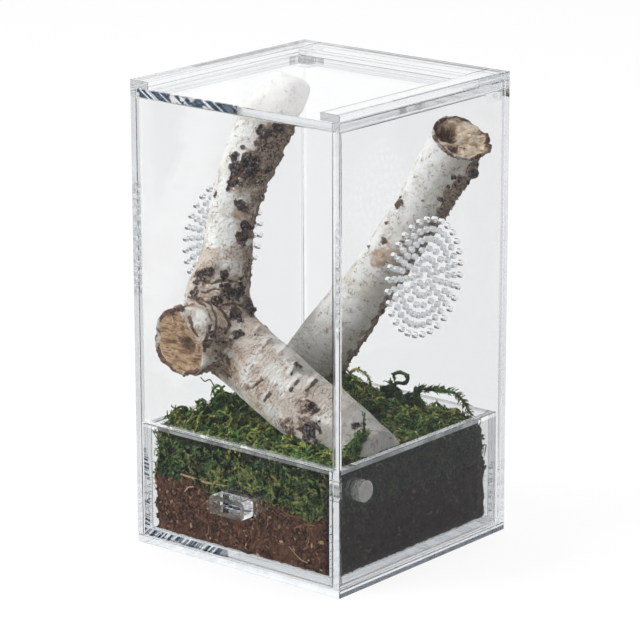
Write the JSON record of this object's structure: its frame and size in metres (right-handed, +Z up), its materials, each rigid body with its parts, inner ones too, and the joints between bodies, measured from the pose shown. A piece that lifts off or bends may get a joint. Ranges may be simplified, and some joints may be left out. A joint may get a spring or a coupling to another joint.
{
  "type": "reptile terrarium",
  "caption": "Clear sheet tank with a sliding lid, ring vents in both side walls, a planted pull-out drawer with a ring pull, and two birch branches.",
  "frame": {"origin": "middle of the base plate's underside", "axes": "+Z up, -Y the front with the drawer and its pull, +X the side wall with the magnet"},
  "size_m": [0.1, 0.1053, 0.18],
  "materials": {
    "clear_sheet": "polished clear acrylic",
    "magnet_plating": "bright nickel",
    "coir_soil": "loose matte fibre",
    "moss": "loose strands",
    "birch": "natural bark, sawn ends"
  },
  "bodies": {
    "tank": {"base_plate": "clear_sheet", "left_wall": "clear_sheet", "right_wall": "clear_sheet", "back_wall": "clear_sheet", "front_panel": "clear_sheet", "left_spacer": "clear_sheet", "right_spacer": "clear_sheet", "rear_spacer": "clear_sheet", "left_rail": "clear_sheet", "right_rail": "clear_sheet", "rear_rail": "clear_sheet", "corner_block": "clear_sheet", "corner_magnet": "magnet_plating", "wall_magnet": "magnet_plating", "bent_branch": "birch", "straight_branch": "birch"},
    "sliding_lid": {"lid": "clear_sheet", "lid_magnet": "magnet_plating"},
    "drawer": {"drawer_front": "clear_sheet", "drawer_left_side": "clear_sheet", "drawer_right_side": "clear_sheet", "drawer_back": "clear_sheet", "drawer_bottom": "clear_sheet", "drawer_pull": "clear_sheet", "drawer_magnet": "magnet_plating", "substrate": "coir_soil", "moss_bed": "moss", "moss_heaps": "moss"}
  },
  "joints": [
    {"name": "lid_slide", "type": "slide", "parent": "tank", "child": "sliding_lid", "axis": [0, -1, 0], "range_m": [0, 0.085]},
    {"name": "drawer_slide", "type": "slide", "parent": "tank", "child": "drawer", "axis": [0, -1, 0], "range_m": [0, 0.08], "deforming": ["moss_heaps"]}
  ]
}
